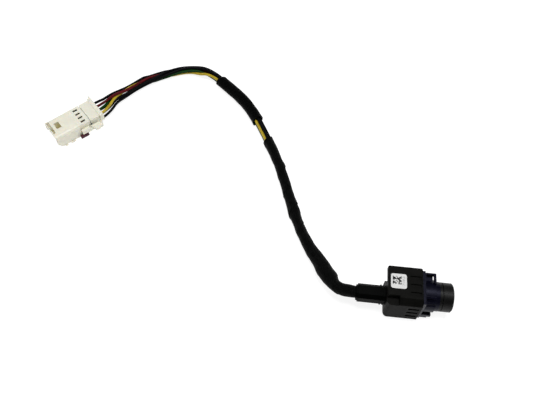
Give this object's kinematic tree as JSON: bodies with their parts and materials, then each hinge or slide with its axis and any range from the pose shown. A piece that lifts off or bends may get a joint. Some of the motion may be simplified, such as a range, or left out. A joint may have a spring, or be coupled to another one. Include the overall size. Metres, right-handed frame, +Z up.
{
  "type": "reversing camera",
  "caption": "Small vehicle reversing camera: square housing with a round lens nose, cable boot, cloth-taped harness with a woven sleeve, and a white locking connector.",
  "frame": {"origin": "under the middle of the camera (housing, boot and lens), on the surface that it stands on", "axes": "+X along the lens axis, the way the camera looks; +Z up; the harness leaves towards -X"},
  "size_m": [0.2407, 0.1596, 0.0201],
  "materials": {
    "housing_plastic": "matte charcoal moulding",
    "holder_plastic": "satin blue-black moulding",
    "barrel_plastic": "satin black, finely turned",
    "lens_glass": "coated glass",
    "seal_rubber": "matte",
    "boot_rubber": "satin black",
    "circuit_board": "solder mask",
    "chip_plastic": "moulded",
    "header_plastic": "moulded",
    "plated_metal": "plated",
    "copper": "tinned copper alloy",
    "label_film": null,
    "wire_black": "extruded insulation",
    "wire_red": "extruded insulation",
    "wire_green": "extruded insulation",
    "wire_yellow": "extruded insulation",
    "wire_grey": "extruded insulation",
    "cloth_tape": "adhesive cloth tape, wound",
    "woven_sleeve": "woven protective sleeve",
    "connector_plastic": "off-white nylon",
    "lock_plastic": "maroon nylon"
  },
  "bodies": {
    "kit": {"aperture_stop": "barrel_plastic", "barrel_o_ring": "seal_rubber", "board_components": "chip_plastic", "board_header": "header_plastic", "board_screws": "plated_metal", "board_spacers": "plated_metal", "boot_grommet": "seal_rubber", "boot_seal": "seal_rubber", "cable_boot": "boot_rubber", "code_label": "label_film", "connector_housing": "connector_plastic", "fabric_sleeve": "woven_sleeve", "front_holder": "holder_plastic", "front_lens": "lens_glass", "front_o_ring": "seal_rubber", "holder_gasket": "seal_rubber", "image_sensor": "chip_plastic", "inner_leads": "copper", "ir_filter": "lens_glass", "lens_barrel": "barrel_plastic", "lens_cap": "barrel_plastic", "lens_element_2": "lens_glass", "lens_element_3": "lens_glass", "lens_element_4": "lens_glass", "lens_spacer_1": "barrel_plastic", "lens_spacer_2": "barrel_plastic", "main_board": "circuit_board", "rear_housing": "housing_plastic", "rear_retainer": "barrel_plastic", "sensor_board": "circuit_board", "sensor_window": "lens_glass", "shield_can": "plated_metal", "tape_wrap": "cloth_tape", "terminals": "copper", "video_processor": "chip_plastic", "wire_black_1": "wire_black", "wire_black_2": "wire_black", "wire_black_3": "wire_black", "wire_green": "wire_green", "wire_grey": "wire_grey", "wire_header": "header_plastic", "wire_red": "wire_red", "wire_yellow": "wire_yellow"},
    "rear_holder": {"rear_holder": "connector_plastic"},
    "latch": {"latch_arm": "connector_plastic"},
    "side_lock": {"side_lock": "lock_plastic"}
  },
  "joints": [
    {"name": "rear_holder_slide", "type": "slide", "parent": "kit", "child": "rear_holder", "axis": [0.7157, 0.6984, 0], "range_m": [0, 0.0012]},
    {"name": "latch_press", "type": "hinge", "parent": "kit", "child": "latch", "pos_m": [-0.18987, 0.091, 0.0036], "axis": [0, 0, 1], "range_deg": [0, 3.5], "stiffness_Nm_per_rad": 0.3},
    {"name": "lock_slide", "type": "slide", "parent": "kit", "child": "side_lock", "axis": [-0.7157, -0.6984, 0], "range_m": [0, 0.002]}
  ]
}
